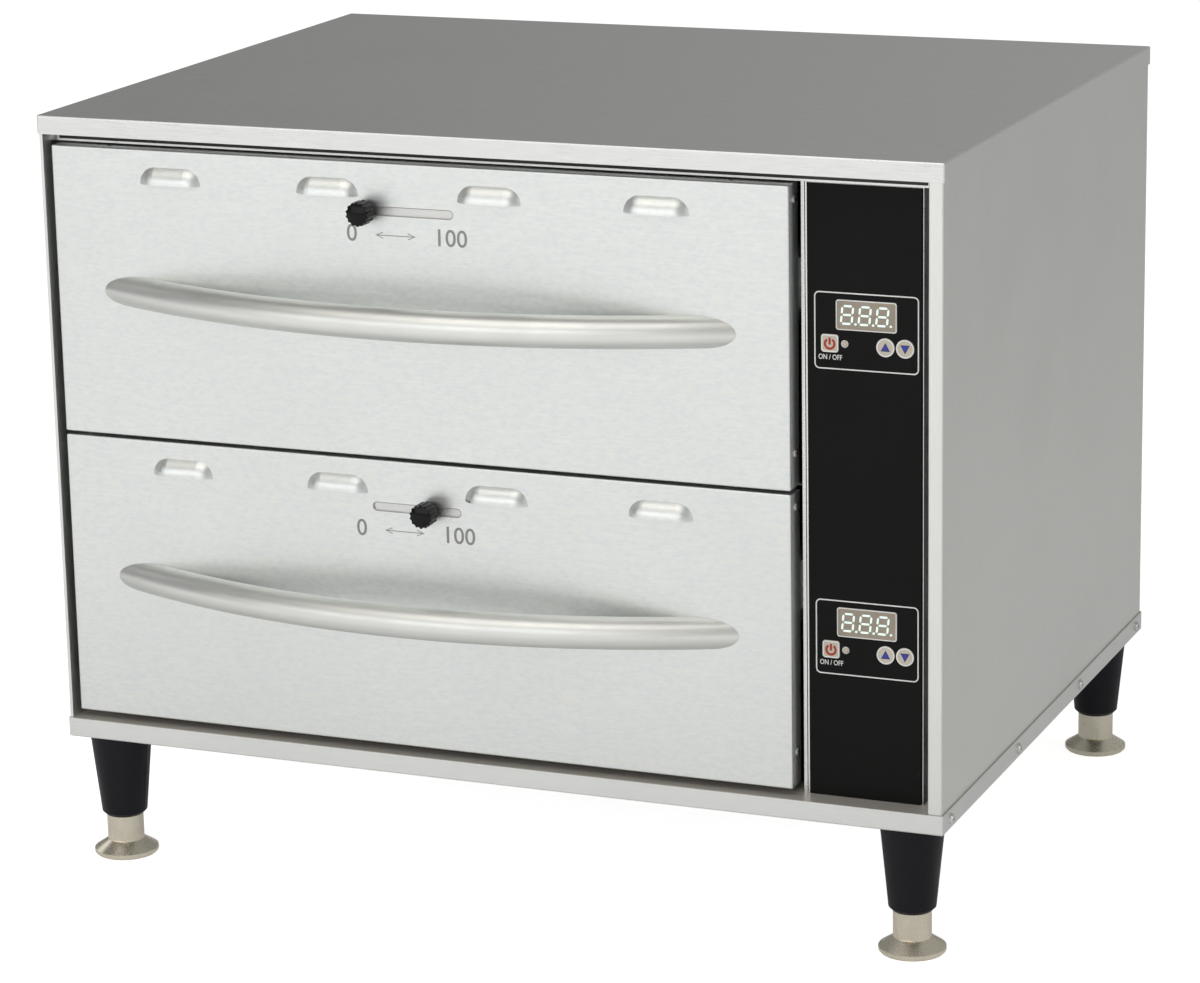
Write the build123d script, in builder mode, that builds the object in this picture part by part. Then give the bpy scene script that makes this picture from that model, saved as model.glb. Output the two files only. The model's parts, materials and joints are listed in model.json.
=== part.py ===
from build123d import *
import os
from math import asin, degrees, radians, sqrt, tan

# Countertop warming drawer: two heated drawers beside a control panel, on four adjustable legs.
#
# Millimetres. X runs to the right, Y to the back and Z up. The origin is on the floor, under the
# middle of the whole object, handles and cord gland included.

# ---- Driving dimensions -------------------------------------------------------------------------

# Case
case_width = 750.0
case_depth = 575.0
case_height = 515.0  # base tray's underside to the cover's top
skin = 1.2  # sheet of the outer panels
liner_sheet = 1.0  # sheet of the inner panels
seat = 0.1  # left between sheets that lie on each other
running_gap = 0.3  # left between pieces that move past each other
corner_radius = 1.4
bend_radius = 1.4
cover_lip = 15.0
base_lip = 16.0
ledge_depth = 45.0  # base tray's front lip is folded back this far
ledge_hem = 10.0
stile_width = 11.5  # right side panel's front flange
stile_return = 32.0
hem_depth = 14.0
rear_flange = 15.0
bay_recess = 20.0  # header rail, divider and control panel lie this far behind the case's front
header_drop = 23.0  # cover's top to the header rail's lower edge
header_flange = 26.0

# Legs
leg_height = 105.0
leg_inset_x = 33.0
leg_inset_y = 27.5
leg_top_radius = 25.4
leg_bottom_radius = 18.6
leg_foot_gap = 34.0  # floor to the sleeve's lower edge
leg_edge_radius = 3.0
leg_stud_radius = 5.0
leg_stud_rise = 12.0
nut_across_flats = 17.0
nut_height = 8.0
foot_radius = 26.3
foot_rim = 4.5
foot_cone_rise = 12.0
foot_bevel = 1.6
foot_stem_radius = 15.0
foot_thread_length = 28.0
foot_flat_height = 11.0
foot_across_flats = 27.0

# Drawers
drawer_recess = 6.0  # drawer fronts lie this far behind the case's front
drawer_left_gap = 6.0
drawer_right_gap = 4.6
drawer_bottom_gap = 6.0
drawer_top_gap = 1.3
drawer_between_gap = 2.7
drawer_travel = 420.0
return_depth = 20.0
return_hole_radius = 2.5
return_hole_inset = 48.0

# Louvres and vent slider
louvre_count = 4
louvre_end = 105.1  # drawer front's edge to the middle of the nearest louvre
louvre_width = 53.0
louvre_rise = 13.4
louvre_reach = 6.6
louvre_drop = 27.0  # drawer front's top to the louvres' open lower edge
louvre_wall = 1.0
slot_length = 75.0
slot_height = 6.4
slot_drop = 37.5
damper_sheet = 1.0
damper_above_lip = 14.6
damper_below_lip = 19.0
damper_side_margin = 4.0
damper_window_width = 44.0
damper_window_height = 10.0
guide_wall = 1.0
guide_lap = 3.0
knob_collar_radius = 6.0
knob_neck_radius = 5.4
knob_radius = 9.6
knob_reach = 21.0
knob_head_depth = 15.0
knob_dome = 2.4
flute_count = 14
flute_radius = 1.7
lower_vent_offset = 46.0  # how far from its left stop the lower vent slider stands

# Handles
handle_drop = 115.0  # drawer front's top to the handle's axis
handle_chord = 471.5  # between the points where the tube's axis meets the drawer front
handle_tube = 25.4
handle_wall = 1.6
handle_bow = 46.5  # the tube's axis stands this far out at the middle

# Drawer frame, pan and slides
frame_drop = 52.0
frame_height = 60.0
frame_back_gap = 36.4  # drawer frame's back to the rear liner
frame_lip = 9.0
pan_length = 500.0
pan_width = 355.0
pan_depth = 127.0
pan_rim = 18.0
pan_rim_lip = 5.0
pan_corner = 45.0
pan_bottom_radius = 18.0
pan_taper = 4.0
pan_sheet = 0.9
pan_play = 3.0  # around the pan in the frame's opening
slide_back_gap = 36.7  # slides' back to the rear liner
slide_middle_short = 20.0  # middle members are this much shorter than the rails
slide_height = 45.0
slide_width = 12.7
slide_sheet = 1.2
slide_play = 0.5
slide_middle_offset = 4.4  # wall to the middle member's web
slide_shift = 4.0  # slides start this far behind the ledge

# Control panel
panel_gap = 9.2  # between the bezel's face and the right stile
bezel_rim = 1.6  # bare edge of the bezel at each side of the black face
bezel_end_rim = 0.3
bezel_step = 12.0
bezel_return = 20.0
bezel_width = 92.2
divider_hem = 2.6
divider_gap = 0.7
control_face_thickness = 1.0
keypad_shift = 1.8  # keypads stand this far right of the bezel's middle
lower_keypad_rise = 143.0  # base tray's underside to the lower keypad's middle
upper_keypad_rise = 380.8
display_width = 46.0
display_height = 21.5
display_rise = 12.5  # keypad's middle to the display's
display_proud = 0.5
display_body_margin = 2.0
power_key_shift = -28.5  # keys and lamp from the keypad's middle
power_key_drop = 9.6
up_key_shift = 15.0
down_key_shift = 30.3
arrow_key_drop = 10.2
power_key_size = 13.5
power_key_corner = 2.0
key_radius = 7.0
key_proud = 0.9
key_travel = 0.8
key_bevel = 0.3
key_flange = 0.7
key_flange_lap = 0.5
key_plunger_radius = 2.0
key_plunger_length = 5.0
lamp_shift = -17.0
lamp_radius = 2.4
lamp_dome = 1.0
board_standoff = 12.0
board_width = 74.0
board_height = 62.0
board_thickness = 1.6
board_post_radius = 2.5
board_post_inset = 4.0
switch_size = 6.0

# Drawer bay
liner_inset = 21.0  # left side panel's inside to the left liner
rear_liner_inset = 38.3  # case's back to the rear liner's back
shelf_flange = 15.0
element_radius = 4.0
element_lift = 16.0
element_bend = 25.0
element_width = 420.0
element_fold_width = 130.0
element_front = 110.0
element_fold_depth = 190.0
element_back_run = 45.0
element_lead_gap = 60.0
element_tail = 14.0
probe_radius = 2.5
probe_reach = 14.0
probe_tail = 12.0
probe_flange_radius = 7.0
probe_flange = 1.5
probe_setback = 300.0
limit_radius = 8.0
limit_thickness = 9.0
limit_plate_length = 26.0
limit_plate_width = 12.0
limit_plate_thickness = 1.2
limit_setback = 360.0
sensor_rise = 62.0  # bay floor to the probe and the high-limit thermostat

# Rear and fasteners
gland_inset = 54.5  # right side panel's inside to the gland's axis
gland_rise = 70.0
gland_thread_radius = 10.0
gland_flange_radius = 13.5
gland_flange = 4.0
gland_reach = 8.0
gland_dome_radius = 10.5
gland_bore_radius = 4.6
gland_nut = 4.0
gland_tail = 12.0
terminal_block_width = 46.0
terminal_block_depth = 22.0
terminal_block_height = 20.0
terminal_setback = 80.0  # case's back to the terminal block's middle
terminal_ways = 3
terminal_wall = 3.0
vent_slot_length = 58.0
vent_slot_height = 5.0
vent_rows = 7
vent_pitch = 13.0
vent_rise = 330.0
side_screw_inset = 20.0
side_screw_count = 4
rear_screw_rows = 3
rear_screw_margin = 60.0
screw_head_radius = 4.3
screw_head_height = 2.4
screw_shank_radius = 2.0
rivet_head_radius = 3.2
rivet_head_height = 1.2
rivet_top_inset = 12.0
rivet_bottom_inset = 27.0
rivet_setback = 12.0  # behind the drawer front's face

# ---- Places that follow from them ---------------------------------------------------------------

handle_reach = handle_bow + handle_tube / 2 - drawer_recess
rear_sheet_y = skin + seat + skin + seat  # case's back to the rear panel's outside
rear_reach = gland_flange + gland_reach - rear_sheet_y
front_y = (handle_reach - rear_reach - case_depth) / 2
back_y = front_y + case_depth
middle_y = (front_y + back_y) / 2
base_z = leg_height
top_z = base_z + case_height
floor_z = base_z + skin
ledge_z = base_z + base_lip
ceiling_z = top_z - skin

side_x = case_width / 2 - skin - seat  # side panels' outside
inner_x = side_x - skin  # side panels' inside
gland_x = inner_x - gland_inset
stile_x = side_x - stile_width
panel_front_y = front_y + skin + seat  # side panels' front, behind the lips
panel_back_y = back_y - skin - seat
rear_panel_y = back_y - rear_sheet_y  # rear panel's outside
bay_y = front_y + bay_recess
header_z = top_z - header_drop

bezel_right = stile_x - panel_gap
bezel_left = bezel_right - bezel_width
divider_right = bezel_left - divider_gap
divider_left = divider_right - skin
divider_hem_left = divider_right - divider_hem

drawer_left = -inner_x + drawer_left_gap
drawer_right = divider_hem_left - drawer_right_gap
drawer_width = drawer_right - drawer_left
drawer_x = (drawer_left + drawer_right) / 2
louvre_pitch = (drawer_width - 2 * louvre_end) / (louvre_count - 1)
bay_height = header_z - ledge_z
drawer_height = (bay_height - drawer_bottom_gap - drawer_top_gap - drawer_between_gap) / 2
drawer_floor = {"lower": ledge_z + drawer_bottom_gap}
drawer_floor["upper"] = drawer_floor["lower"] + drawer_height + drawer_between_gap
face_y = front_y + drawer_recess

bay_left = -inner_x + liner_inset  # left liner's inside
bay_right = divider_left
rear_liner_y = back_y - rear_liner_inset - liner_sheet  # rear liner's front
shelf_z = drawer_floor["upper"] - drawer_between_gap / 2 + liner_sheet / 2  # shelf's top
bay_floor = {"lower": floor_z, "upper": shelf_z}
slide_front_y = front_y + ledge_depth + slide_shift
frame_left = bay_left + slide_width + 2 * seat
frame_right = bay_right - slide_width - 2 * seat
frame_x = (frame_left + frame_right) / 2
frame_y = face_y + skin + seat
frame_length = rear_liner_y - frame_back_gap - frame_y
slide_length = rear_liner_y - slide_back_gap - slide_front_y
slide_middle_length = slide_length - slide_middle_short
pan_y = frame_y + frame_length / 2
damper_y = face_y + skin + running_gap
bezel_x = (bezel_left + bezel_right) / 2
keypad_x = bezel_x + keypad_shift
control_y = bay_y - seat - control_face_thickness  # black face's outside
bezel_back_y = bay_y + skin
board_y = bezel_back_y + board_standoff
key_flange_y = bezel_back_y + seat
keypad_rises = {"lower": lower_keypad_rise, "upper": upper_keypad_rise}
key_offsets = {
    "power": (power_key_shift, -power_key_drop),
    "up": (up_key_shift, -arrow_key_drop),
    "down": (down_key_shift, -arrow_key_drop),
}
levels = ("upper", "lower")
low_corner = (Align.MIN, Align.MIN)


def save(piece, name):
    """Labels a finished piece and writes its file."""
    piece.part.label = name
    export_step(piece.part, f"parts/{name}.step")


def folded_sheet(plane, points, gauge, length, side=Side.LEFT, radius=0.0):
    """A sheet folded along the points, seen end-on in the plane, and as long as said."""
    with BuildPart() as sheet:
        with BuildSketch(plane):
            with BuildLine():
                if radius:
                    FilletPolyline(*points, radius=radius)
                else:
                    Polyline(*points)
                offset(amount=gauge, side=side)
            make_face()
        extrude(amount=length)
    return sheet


def upright(y):
    """The vertical plane at depth y, seen from the front: X to the right, Z up."""
    return Plane.XZ.offset(-y)


def side_view(x):
    """The vertical plane at x, seen from the right: Y to the right, Z up."""
    return Plane.YZ.offset(x)


def turned(origin, points, along=(0, 0, 1)):
    """A solid of revolution about the direction, from points of (radius, distance along)."""
    across = (1, 0, 0) if along[0] == 0 else (0, 1, 0)
    axis = Axis(origin, along)
    with BuildPart() as piece:
        with BuildSketch(Plane(origin, x_dir=across, z_dir=Vector(*across).cross(axis.direction))):
            with BuildLine():
                Polyline(*points, close=True)
            make_face()
        revolve(axis=axis)
    return piece


# ---- Case ---------------------------------------------------------------------------------------


def side_screw_places():
    """Y and Z of the screws along the base tray's side flanges."""
    run = case_depth - 2 * side_screw_inset
    step = run / (side_screw_count - 1)
    first = front_y + side_screw_inset
    return [(first + step * i, base_z + base_lip / 2) for i in range(side_screw_count)]


def leg_places():
    """X and Y of the legs, keyed by the corner that each stands at."""
    x = case_width / 2 - leg_inset_x
    near = front_y + leg_inset_y
    far = back_y - leg_inset_y
    return {
        "front_left": (-x, near),
        "front_right": (x, near),
        "rear_left": (-x, far),
        "rear_right": (x, far),
    }


def make_top_cover():
    with BuildPart() as cover:
        with BuildSketch(Plane.XY.offset(top_z - cover_lip)):
            with Locations((0, middle_y)):
                RectangleRounded(case_width, case_depth, corner_radius)
        extrude(amount=cover_lip)
        fillet(cover.edges().group_by(Axis.Z)[-1], bend_radius)
        offset(amount=-skin, openings=cover.faces().sort_by(Axis.Z)[0])
    return cover


def make_base_tray():
    ledge_half = inner_x - seat
    with BuildPart() as tray:
        with BuildSketch(Plane.XY.offset(base_z)):
            with Locations((0, middle_y)):
                RectangleRounded(case_width, case_depth, corner_radius)
        extrude(amount=base_lip)
        fillet(tray.edges().group_by(Axis.Z)[0], bend_radius)
        offset(amount=-skin, openings=tray.faces().sort_by(Axis.Z)[-1])
        # The front lip goes on as a ledge, with its own rear edge turned down
        with BuildSketch(side_view(-ledge_half)):
            with BuildLine():
                Polyline(
                    (front_y + skin / 2, ledge_z),
                    (front_y + ledge_depth, ledge_z),
                    (front_y + ledge_depth, ledge_z - ledge_hem),
                )
                offset(amount=skin, side=Side.RIGHT)
            make_face()
        extrude(amount=2 * ledge_half)
        with BuildSketch(side_view(-case_width / 2)):
            with Locations(*side_screw_places()):
                Circle(screw_shank_radius + seat)
        extrude(amount=case_width, mode=Mode.SUBTRACT)
        with BuildSketch(Plane.XY.offset(base_z)):
            with Locations(*leg_places().values()):
                Circle(leg_stud_radius + running_gap)
        extrude(amount=skin, mode=Mode.SUBTRACT)
    return tray


def make_side_panel(sign, outline, radius=0.0):
    """A side panel folded along the outline, notched at its foot for the base tray's ledge."""
    stands_z = floor_z + seat
    blank = folded_sheet(
        Plane.XY.offset(stands_z),
        [(sign * x, y) for x, y in outline],
        skin,
        ceiling_z - seat - stands_z,
        side=Side.LEFT if sign > 0 else Side.RIGHT,
        radius=radius,
    )
    with BuildPart() as panel:
        add(blank.part)
        with BuildSketch(Plane.XY.offset(floor_z)):
            notch_depth = ledge_depth + skin
            with Locations((sign * (inner_x - stile_width / 2), front_y + notch_depth / 2)):
                Rectangle(stile_width, notch_depth)
        extrude(amount=base_lip - skin + seat, mode=Mode.SUBTRACT)
        with BuildSketch(side_view(-case_width / 2)):
            with Locations(*side_screw_places()):
                Circle(screw_shank_radius + seat)
        extrude(amount=case_width, mode=Mode.SUBTRACT)
        with BuildSketch(upright(panel_back_y)):
            with Locations(*rear_screw_places()):
                Circle(screw_shank_radius + seat)
        extrude(amount=skin, mode=Mode.SUBTRACT)
    return panel


def make_right_side_panel():
    return make_side_panel(
        1,
        [
            (stile_x, panel_front_y + stile_return),
            (stile_x, panel_front_y),
            (side_x, panel_front_y),
            (side_x, panel_back_y),
            (side_x - rear_flange, panel_back_y),
        ],
        radius=bend_radius,
    )


def make_left_side_panel():
    hem_x = side_x - divider_hem
    return make_side_panel(
        -1,
        [
            (hem_x, panel_front_y + hem_depth),
            (hem_x, panel_front_y),
            (side_x, panel_front_y),
            (side_x, panel_back_y),
            (side_x - rear_flange, panel_back_y),
        ],
    )


def rear_screw_places():
    """X and Z of the screws that hold the rear panel to the side panels' flanges."""
    first = floor_z + rear_screw_margin
    step = (ceiling_z - rear_screw_margin - first) / (rear_screw_rows - 1)
    x = side_x - rear_flange / 2
    return [(s * x, first + step * i) for s in (-1, 1) for i in range(rear_screw_rows)]


def make_rear_panel():
    height = ceiling_z - floor_z - 2 * seat
    with BuildPart() as panel:
        with BuildSketch(upright(rear_panel_y)):
            with Locations((0, (ceiling_z + floor_z) / 2)):
                Rectangle(2 * (inner_x - seat), height)
            with Locations((gland_x, base_z + gland_rise)):
                Circle(gland_thread_radius + seat, mode=Mode.SUBTRACT)
            with Locations((bezel_x, base_z + vent_rise)):
                with GridLocations(0, vent_pitch, 1, vent_rows):
                    SlotOverall(vent_slot_length, vent_slot_height, mode=Mode.SUBTRACT)
            with Locations(*rear_screw_places()):
                Circle(screw_shank_radius + seat, mode=Mode.SUBTRACT)
        extrude(amount=skin)
    return panel


def make_header_rail():
    left = -inner_x + seat
    return folded_sheet(
        side_view(left),
        [
            (bay_y, header_z),
            (bay_y, ceiling_z - seat),
            (bay_y + header_flange, ceiling_z - seat),
        ],
        skin,
        stile_x - seat - left,
        side=Side.RIGHT,
    )


def make_bay_divider():
    top = header_z - seat
    step_y = front_y + ledge_depth + seat
    back = rear_liner_y + liner_sheet
    with BuildPart() as divider:
        with BuildSketch(side_view(divider_left)):
            with BuildLine():
                Polyline(
                    (bay_y, ledge_z + seat),
                    (step_y, ledge_z + seat),
                    (step_y, floor_z + seat),
                    (back, floor_z + seat),
                    (back, top),
                    (bay_y, top),
                    close=True,
                )
            make_face()
        extrude(amount=skin)
        # The front edge is folded back on itself
        with BuildSketch(Plane.XY.offset(ledge_z + seat)):
            with Locations((divider_hem_left, bay_y)):
                Rectangle(divider_hem, hem_depth, align=low_corner)
        extrude(amount=top - ledge_z - seat)
        with BuildSketch(side_view(divider_left)):
            with Locations(*[probe_place(level) for level in levels]):
                Circle(probe_radius + seat)
        extrude(amount=skin, mode=Mode.SUBTRACT)
    return divider


def make_drawer_shelf():
    """The shelf between the drawers, with flanges down both walls."""
    front = bay_y + hem_depth + seat
    depth = rear_liner_y - seat - front
    return folded_sheet(
        upright(rear_liner_y - seat),
        [
            (bay_left + seat, shelf_z - shelf_flange),
            (bay_left + seat, shelf_z),
            (bay_right - seat, shelf_z),
            (bay_right - seat, shelf_z - shelf_flange),
        ],
        liner_sheet,
        depth,
        side=Side.RIGHT,
    )


def make_left_liner():
    front = front_y + ledge_depth + seat
    stands_z = floor_z + seat
    outside = -inner_x + seat
    return folded_sheet(
        Plane.XY.offset(stands_z),
        [(outside, front), (bay_left, front), (bay_left, rear_liner_y - seat)],
        liner_sheet,
        header_z - seat - stands_z,
        side=Side.LEFT,
    )


def element_lead_places():
    """X and Z of the heating elements' four leads, where they pass the rear liner."""
    half = element_lead_gap / 2
    heights = [bay_floor[level] + element_lift for level in levels]
    return [(frame_x + side * half, z) for side in (-1, 1) for z in heights]


def make_rear_liner():
    left = -inner_x + seat
    right = bay_right - seat
    bottom = floor_z + seat
    with BuildPart() as panel:
        with BuildSketch(upright(rear_liner_y + liner_sheet)):
            with Locations((left, bottom)):
                Rectangle(right - left, header_z - seat - bottom, align=low_corner)
            with Locations(*element_lead_places()):
                Circle(element_radius + running_gap, mode=Mode.SUBTRACT)
        extrude(amount=liner_sheet)
    return panel


def make_top_liner():
    left = -inner_x + seat
    front = bay_y + skin + seat
    depth = rear_liner_y + liner_sheet - front
    with BuildPart() as panel:
        with BuildSketch(Plane.XY.offset(header_z)):
            with Locations((left, front)):
                Rectangle(divider_right - left, depth, align=low_corner)
        extrude(amount=liner_sheet)
    return panel


def make_heating_element(level):
    """A sheathed tube bent to a flat loop that is folded in at its front."""
    z = bay_floor[level] + element_lift
    leads_back = rear_liner_y + liner_sheet + element_tail
    back = rear_liner_y - element_back_run
    front = front_y + element_front
    half_route = [
        (element_lead_gap / 2, leads_back),
        (element_lead_gap / 2, back),
        (element_width / 2, back),
        (element_width / 2, front),
        (element_fold_width / 2, front),
        (element_fold_width / 2, front + element_fold_depth),
    ]
    route = [(frame_x - x, y) for x, y in half_route]
    route += [(frame_x + x, y) for x, y in reversed(half_route)]
    with BuildPart() as element:
        with BuildLine(Plane.XY.offset(z)):
            path = FilletPolyline(*route, radius=element_bend)
        with BuildSketch(Plane(path @ 0, z_dir=path % 0)):
            Circle(element_radius)
        sweep()
    return element


def probe_place(level):
    """Y and Z of a temperature probe."""
    return front_y + probe_setback, bay_floor[level] + sensor_rise


def make_temperature_probe(level):
    """A sheathed probe through the divider, with its flange on the controls' side."""
    return turned(
        (divider_right + seat, *probe_place(level)),
        [
            (0, -probe_reach),
            (probe_radius, -probe_reach),
            (probe_radius, 0),
            (probe_flange_radius, 0),
            (probe_flange_radius, probe_flange),
            (probe_radius, probe_flange),
            (probe_radius, probe_tail),
            (0, probe_tail),
        ],
        along=(1, 0, 0),
    )


def make_high_limit(level):
    """A disc thermostat on its plate, against the divider on the controls' side."""
    place = (front_y + limit_setback, bay_floor[level] + sensor_rise)
    with BuildPart() as limit:
        with BuildSketch(side_view(divider_right + seat)):
            with Locations(place):
                SlotOverall(limit_plate_length, limit_plate_width)
        extrude(amount=limit_plate_thickness)
        with BuildSketch(side_view(divider_right + seat + limit_plate_thickness)):
            with Locations(place):
                Circle(limit_radius)
        extrude(amount=limit_thickness)
    return limit


def make_insulation():
    """Three batts: behind the left liner, behind the rear liner and over the top liner."""
    left = -inner_x + seat
    front = front_y + ledge_depth + liner_sheet + 2 * seat
    behind = rear_liner_y + liner_sheet + seat
    bottom = ledge_z + seat
    over = header_z + liner_sheet + seat
    thick = rear_panel_y - skin - seat - behind
    with BuildPart() as batts:
        with BuildSketch(Plane.XY.offset(bottom)):
            with Locations((left, front)):
                left_width = bay_left - liner_sheet - seat - left
                Rectangle(left_width, rear_liner_y - seat - front, align=low_corner)
            with Locations((left, behind)):
                Rectangle(bay_right - left, thick, align=low_corner)
        extrude(amount=header_z - seat - bottom)
        with BuildSketch(Plane.XY.offset(over)):
            top_front = bay_y + header_flange + seat
            with Locations((left, top_front)):
                Rectangle(divider_right - left, rear_liner_y - top_front, align=low_corner)
        extrude(amount=ceiling_z - seat - over)
        # Room for the heating elements' leads
        with BuildSketch(upright(behind + thick)):
            with Locations(*element_lead_places()):
                Circle(element_radius + running_gap)
        extrude(amount=thick, mode=Mode.SUBTRACT)
    return batts


# ---- Legs ---------------------------------------------------------------------------------------


def make_leg_sleeves():
    """Tapered sleeves with a stud through the base tray and a bore for the foot."""
    bore = foot_stem_radius + running_gap
    bore_top = leg_foot_gap + foot_thread_length + running_gap
    stud_top = floor_z + leg_stud_rise
    sleeve = turned(
        (0, 0, 0),
        [
            (bore, leg_foot_gap),
            (leg_bottom_radius - leg_edge_radius, leg_foot_gap),
            (leg_bottom_radius, leg_foot_gap + leg_edge_radius),
            (leg_top_radius, base_z - seat),
            (leg_stud_radius, base_z - seat),
            (leg_stud_radius, stud_top),
            (0, stud_top),
            (0, bore_top),
            (bore, bore_top),
        ],
    )
    with BuildPart() as sleeves:
        with Locations(*[(x, y, 0) for x, y in leg_places().values()]):
            add(sleeve.part)
    return sleeves


def make_foot(x, y):
    """A screwed foot: flared base, round stem and two spanner flats."""
    stem_top = leg_foot_gap + foot_thread_length
    waste = foot_stem_radius
    blank = turned(
        (x, y, 0),
        [
            (0, 0),
            (foot_radius - foot_bevel, 0),
            (foot_radius, foot_bevel),
            (foot_radius, foot_rim),
            (foot_stem_radius, foot_cone_rise),
            (foot_stem_radius, stem_top),
            (0, stem_top),
        ],
    )
    with BuildPart() as foot:
        add(blank.part)
        with BuildSketch(Plane.XY.offset(foot_cone_rise)):
            with Locations((x, y)):
                with GridLocations(0, foot_across_flats + waste, 1, 2):
                    Rectangle(2 * waste, waste)
        extrude(amount=foot_flat_height, mode=Mode.SUBTRACT)
    return foot


# ---- Drawers ------------------------------------------------------------------------------------


def louvre_places(level):
    """X and Z of the middle of each louvre's open edge."""
    z = drawer_floor[level] + drawer_height - louvre_drop
    first = drawer_x - louvre_pitch * (louvre_count - 1) / 2
    return [(first + louvre_pitch * i, z) for i in range(louvre_count)]


def louvre_quarter(radius, cut_at=None):
    """A quarter of a round-ended bar about the X axis, above and in front of its middle."""
    half = louvre_width / 2 - louvre_rise
    with BuildPart() as bar:
        with BuildSketch(Plane.XZ):
            with BuildLine():
                Line((-half - radius, 0), (half + radius, 0))
                JernArc((half + radius, 0), (0, 1), radius, 90)
                Line((half, radius), (-half, radius))
                JernArc((-half, radius), (-1, 0), radius, 90)
            make_face()
        revolve(axis=Axis.X, revolution_arc=90)
        if cut_at is not None:
            split(bisect_by=Plane.XZ.offset(cut_at), keep=Keep.TOP)
    return bar


def rivet_places(level):
    """Y and Z of the rivets in a drawer front's side returns."""
    y = face_y + rivet_setback
    floor = drawer_floor[level]
    return [(y, floor + rivet_bottom_inset), (y, floor + drawer_height - rivet_top_inset)]


def damper_edges(level):
    """Z of the damper's lower and upper edge."""
    lip = louvre_places(level)[0][1]
    return lip - damper_below_lip, lip + damper_above_lip


def make_drawer_front(level):
    """The front: folded pan with hooded louvres, the knob's slot and the damper's guides."""
    floor = drawer_floor[level]
    top = floor + drawer_height
    # A louvre is the slice of a round-ended bar whose axis lies behind the face
    axis_depth = (louvre_rise**2 / louvre_reach - louvre_reach) / 2
    outside = axis_depth + louvre_reach
    hood = louvre_quarter(outside, axis_depth - skin / 2)
    mouth = louvre_quarter(outside - louvre_wall)
    places = [(x, face_y + axis_depth, z) for x, z in louvre_places(level)]
    low, high = damper_edges(level)
    guide_y = damper_y + damper_sheet + running_gap
    with BuildPart() as front:
        with BuildSketch(upright(face_y + return_depth)):
            with Locations((drawer_x, floor + drawer_height / 2)):
                RectangleRounded(drawer_width, drawer_height, corner_radius)
        extrude(amount=return_depth)
        fillet(front.edges().group_by(Axis.Y)[0], bend_radius)
        offset(amount=-skin, openings=front.faces().sort_by(Axis.Y)[-1])
        with Locations(*places):
            add(hood.part)
            add(mouth.part, mode=Mode.SUBTRACT)
        with BuildSketch(upright(face_y + skin)):
            with Locations((drawer_x, top - slot_drop)):
                SlotOverall(slot_length, slot_height)
        extrude(amount=skin, mode=Mode.SUBTRACT)
        # Guide strips hold the damper's two long edges
        for edge, outwards in ((high, 1), (low, -1)):
            with BuildSketch(side_view(drawer_left + skin + damper_side_margin)):
                with BuildLine():
                    Polyline(
                        (face_y + skin - seat, edge + outwards * running_gap),
                        (guide_y, edge + outwards * running_gap),
                        (guide_y, edge - outwards * guide_lap),
                        (guide_y + guide_wall, edge - outwards * guide_lap),
                        (guide_y + guide_wall, edge + outwards * (running_gap + guide_wall)),
                        (face_y + skin - seat, edge + outwards * (running_gap + guide_wall)),
                        close=True,
                    )
                make_face()
            extrude(amount=drawer_width - 2 * (skin + damper_side_margin))
        with BuildSketch(side_view(drawer_left)):
            with Locations(*rivet_places(level)):
                Circle(screw_shank_radius + seat)
        extrude(amount=drawer_width, mode=Mode.SUBTRACT)
        with BuildSketch(Plane.XY.offset(top - skin)):
            with Locations((drawer_x, face_y + return_depth / 2)):
                with GridLocations(drawer_width - 2 * return_hole_inset, 0, 2, 1):
                    Circle(return_hole_radius)
        extrude(amount=skin, mode=Mode.SUBTRACT)
    return front


def vent_stop_x():
    """X of the knob's stem at the left end of its slot."""
    return drawer_x - slot_length / 2 + slot_height / 2


def vent_travel():
    """How far a vent slider goes from stop to stop."""
    return slot_length - slot_height


def vent_offset(level):
    """How far from its left stop a vent slider stands."""
    return lower_vent_offset if level == "lower" else 0.0


def knob_place(level):
    """X and Z of a vent knob's axis."""
    z = drawer_floor[level] + drawer_height - slot_drop
    return vent_stop_x() + vent_offset(level), z


def make_vent_damper(level):
    """The sliding plate: its windows stand behind the louvres when the knob is at the left."""
    low, high = damper_edges(level)
    left = drawer_left + skin + damper_side_margin + vent_offset(level)
    length = drawer_width - 2 * (skin + damper_side_margin) - vent_travel()
    stem = slot_height / 2 - running_gap
    with BuildPart() as damper:
        with BuildSketch(upright(damper_y + damper_sheet)):
            with Locations((left, low)):
                Rectangle(length, high - low, align=(Align.MIN, Align.MIN))
            for x, z in louvre_places(level):
                with Locations((x + vent_offset(level), z + damper_window_height / 2)):
                    Rectangle(damper_window_width, damper_window_height, mode=Mode.SUBTRACT)
            with Locations(knob_place(level)):
                Circle(stem + seat / 2, mode=Mode.SUBTRACT)
        extrude(amount=damper_sheet)
    return damper


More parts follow.
